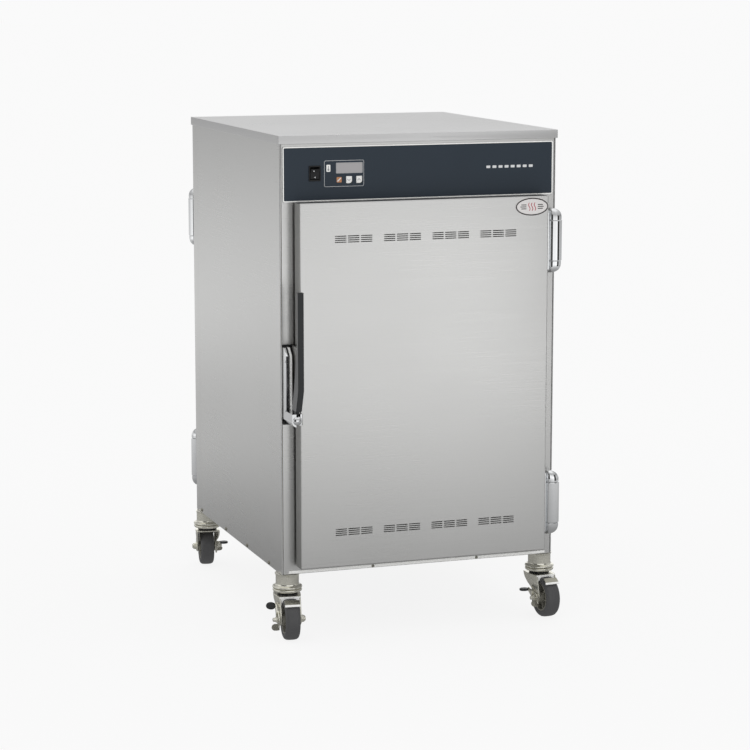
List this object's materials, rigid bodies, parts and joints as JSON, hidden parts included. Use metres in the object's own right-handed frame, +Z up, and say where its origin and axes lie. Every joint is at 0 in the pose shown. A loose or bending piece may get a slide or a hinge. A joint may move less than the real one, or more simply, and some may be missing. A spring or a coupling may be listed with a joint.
{
  "type": "food holding cabinet",
  "caption": "Mobile pass-through food holding cabinet: insulated heated tunnel with a vented, latched door at each end, a control panel, wire racks and shelves, and swivel braked casters.",
  "frame": {"origin": "on the floor under the middle of the cabinet", "axes": "+X to the right seen from the front, +Y from the front door to the rear door, +Z up"},
  "size_m": [0.6822, 0.855, 1.0755],
  "materials": {
    "casing_steel": "fine horizontal and vertical brushing, satin",
    "liner_steel": "satin",
    "chrome": "bright plated",
    "zinc": "dull plated pressings",
    "panel_coating": "fine textured slate blue",
    "black_plastic": "satin",
    "white_plastic": "satin",
    "display": "smoked grey window",
    "gasket": "matte",
    "tyre": "matte",
    "insulation": "glass wool blanket",
    "circuit_board": "coated board",
    "cable": "silicone"
  },
  "bodies": {
    "cabinet": {"top_cover": "casing_steel", "side_panel_left": "casing_steel", "side_panel_right": "casing_steel", "front_frame": "casing_steel", "rear_frame": "casing_steel", "base_pan": "casing_steel", "liner": "liner_steel", "insulation_jacket": "insulation", "heating_cable": "cable", "side_rack_left": "chrome", "side_rack_right": "chrome", "air_sensor": "liner_steel", "control_panel": "panel_coating", "display_window": "display", "switch_housing": "black_plastic", "control_board": "circuit_board", "cord_gland": "black_plastic", "front_latch_strike": "chrome", "front_hinge_lower_frame_half": "chrome", "front_hinge_upper_frame_half": "chrome", "rear_latch_strike": "chrome", "rear_hinge_lower_frame_half": "chrome", "rear_hinge_upper_frame_half": "chrome"},
    "front_door": {"front_door_panel": "casing_steel", "front_door_inner": "liner_steel", "front_door_gasket": "gasket", "front_latch_body": "chrome", "front_hinge_lower_door_half": "chrome", "front_hinge_upper_door_half": "chrome"},
    "front_handle": {"front_latch_handle": "black_plastic"},
    "front_vent_lower": {"front_vent_slide_lower": "liner_steel"},
    "front_vent_upper": {"front_vent_slide_upper": "liner_steel"},
    "rear_door": {"rear_door_panel": "casing_steel", "rear_door_inner": "liner_steel", "rear_door_gasket": "gasket", "rear_latch_body": "chrome", "rear_hinge_lower_door_half": "chrome", "rear_hinge_upper_door_half": "chrome"},
    "rear_handle": {"rear_latch_handle": "black_plastic"},
    "rear_vent_lower": {"rear_vent_slide_lower": "liner_steel"},
    "rear_vent_upper": {"rear_vent_slide_upper": "liner_steel"},
    "shelf_lower": {"shelf_lower": "chrome"},
    "shelf_upper": {"shelf_upper": "chrome"},
    "rocker": {"power_rocker": "black_plastic"},
    "key_down": {"key_down": "white_plastic"},
    "key_up": {"key_up": "white_plastic"},
    "caster_front_left": {"caster_front_left_fork": "zinc"},
    "wheel_front_left": {"caster_front_left_wheel": "tyre"},
    "brake_front_left": {"caster_front_left_brake": "zinc"},
    "caster_front_right": {"caster_front_right_fork": "zinc"},
    "wheel_front_right": {"caster_front_right_wheel": "tyre"},
    "brake_front_right": {"caster_front_right_brake": "zinc"},
    "caster_rear_left": {"caster_rear_left_fork": "zinc"},
    "wheel_rear_left": {"caster_rear_left_wheel": "tyre"},
    "brake_rear_left": {"caster_rear_left_brake": "zinc"},
    "caster_rear_right": {"caster_rear_right_fork": "zinc"},
    "wheel_rear_right": {"caster_rear_right_wheel": "tyre"},
    "brake_rear_right": {"caster_rear_right_brake": "zinc"}
  },
  "joints": [
    {"name": "front_door_swing", "type": "hinge", "parent": "cabinet", "child": "front_door", "pos_m": [0.3, -0.3715, 0.546], "axis": [0, 0, 1], "range_deg": [0, 180]},
    {"name": "front_handle_pull", "type": "hinge", "parent": "front_door", "child": "front_handle", "pos_m": [-0.296, -0.4075, 0.486], "axis": [1, 0, 0], "range_deg": [0, 22], "stiffness_Nm_per_rad": 1.2, "springref_deg": -14.32},
    {"name": "front_vent_lower_slide", "type": "slide", "parent": "front_door", "child": "front_vent_lower", "axis": [1, 0, 0], "range_m": [0, 0.05]},
    {"name": "front_vent_upper_slide", "type": "slide", "parent": "front_door", "child": "front_vent_upper", "axis": [1, 0, 0], "range_m": [0, 0.05]},
    {"name": "rear_door_swing", "type": "hinge", "parent": "cabinet", "child": "rear_door", "pos_m": [-0.3, 0.3715, 0.546], "axis": [0, 0, 1], "range_deg": [0, 180]},
    {"name": "rear_handle_pull", "type": "hinge", "parent": "rear_door", "child": "rear_handle", "pos_m": [0.296, 0.4075, 0.486], "axis": [-1, 0, 0], "range_deg": [0, 22], "stiffness_Nm_per_rad": 1.2, "springref_deg": -14.32},
    {"name": "rear_vent_lower_slide", "type": "slide", "parent": "rear_door", "child": "rear_vent_lower", "axis": [-1, 0, 0], "range_m": [0, 0.05]},
    {"name": "rear_vent_upper_slide", "type": "slide", "parent": "rear_door", "child": "rear_vent_upper", "axis": [-1, 0, 0], "range_m": [0, 0.05]},
    {"name": "shelf_lower_slide", "type": "slide", "parent": "cabinet", "child": "shelf_lower", "axis": [0, 1, 0], "range_m": [-0.02, 0.02]},
    {"name": "shelf_upper_slide", "type": "slide", "parent": "cabinet", "child": "shelf_upper", "axis": [0, 1, 0], "range_m": [-0.02, 0.02]},
    {"name": "rocker_tilt", "type": "hinge", "parent": "cabinet", "child": "rocker", "pos_m": [-0.2356, -0.3458, 0.9956], "axis": [1, 0, 0], "range_deg": [-16, 0]},
    {"name": "key_down_press", "type": "slide", "parent": "cabinet", "child": "key_down", "axis": [0, 1, 0], "range_m": [0, 0.001], "stiffness_N_per_m": 400, "springref_m": -0.0005},
    {"name": "key_up_press", "type": "slide", "parent": "cabinet", "child": "key_up", "axis": [0, 1, 0], "range_m": [0, 0.001], "stiffness_N_per_m": 400, "springref_m": -0.0005},
    {"name": "caster_front_left_swivel", "type": "hinge", "parent": "cabinet", "child": "caster_front_left", "pos_m": [-0.293, -0.3255, 0.107], "axis": [0, 0, 1], "continuous": true},
    {"name": "wheel_front_left_spin", "type": "hinge", "parent": "caster_front_left", "child": "wheel_front_left", "pos_m": [-0.29702, -0.35825, 0.0445], "axis": [0.9925, -0.1219, 0], "continuous": true},
    {"name": "brake_front_left_tilt", "type": "hinge", "parent": "caster_front_left", "child": "brake_front_left", "pos_m": [-0.29702, -0.35825, 0.0445], "axis": [0.9925, -0.1219, 0], "range_deg": [-35, 0]},
    {"name": "caster_front_right_swivel", "type": "hinge", "parent": "cabinet", "child": "caster_front_right", "pos_m": [0.293, -0.3255, 0.107], "axis": [0, 0, 1], "continuous": true},
    {"name": "wheel_front_right_spin", "type": "hinge", "parent": "caster_front_right", "child": "wheel_front_right", "pos_m": [0.2953, -0.35842, 0.0445], "axis": [0.9976, 0.0698, 0], "continuous": true},
    {"name": "brake_front_right_tilt", "type": "hinge", "parent": "caster_front_right", "child": "brake_front_right", "pos_m": [0.2953, -0.35842, 0.0445], "axis": [0.9976, 0.0698, 0], "range_deg": [0, 35]},
    {"name": "caster_rear_left_swivel", "type": "hinge", "parent": "cabinet", "child": "caster_rear_left", "pos_m": [-0.293, 0.3255, 0.107], "axis": [0, 0, 1], "continuous": true},
    {"name": "wheel_rear_left_spin", "type": "hinge", "parent": "caster_rear_left", "child": "wheel_rear_left", "pos_m": [-0.28784, 0.35809, 0.0445], "axis": [-0.9877, 0.1564, 0], "continuous": true},
    {"name": "brake_rear_left_tilt", "type": "hinge", "parent": "caster_rear_left", "child": "brake_rear_left", "pos_m": [-0.28784, 0.35809, 0.0445], "axis": [-0.9877, 0.1564, 0], "range_deg": [0, 35]},
    {"name": "caster_rear_right_swivel", "type": "hinge", "parent": "cabinet", "child": "caster_rear_right", "pos_m": [0.293, 0.3255, 0.107], "axis": [0, 0, 1], "continuous": true},
    {"name": "wheel_rear_right_spin", "type": "hinge", "parent": "caster_rear_right", "child": "wheel_rear_right", "pos_m": [0.29873, 0.358, 0.0445], "axis": [-0.9848, 0.1736, 0], "continuous": true},
    {"name": "brake_rear_right_tilt", "type": "hinge", "parent": "caster_rear_right", "child": "brake_rear_right", "pos_m": [0.29873, 0.358, 0.0445], "axis": [-0.9848, 0.1736, 0], "range_deg": [-35, 0]}
  ]
}
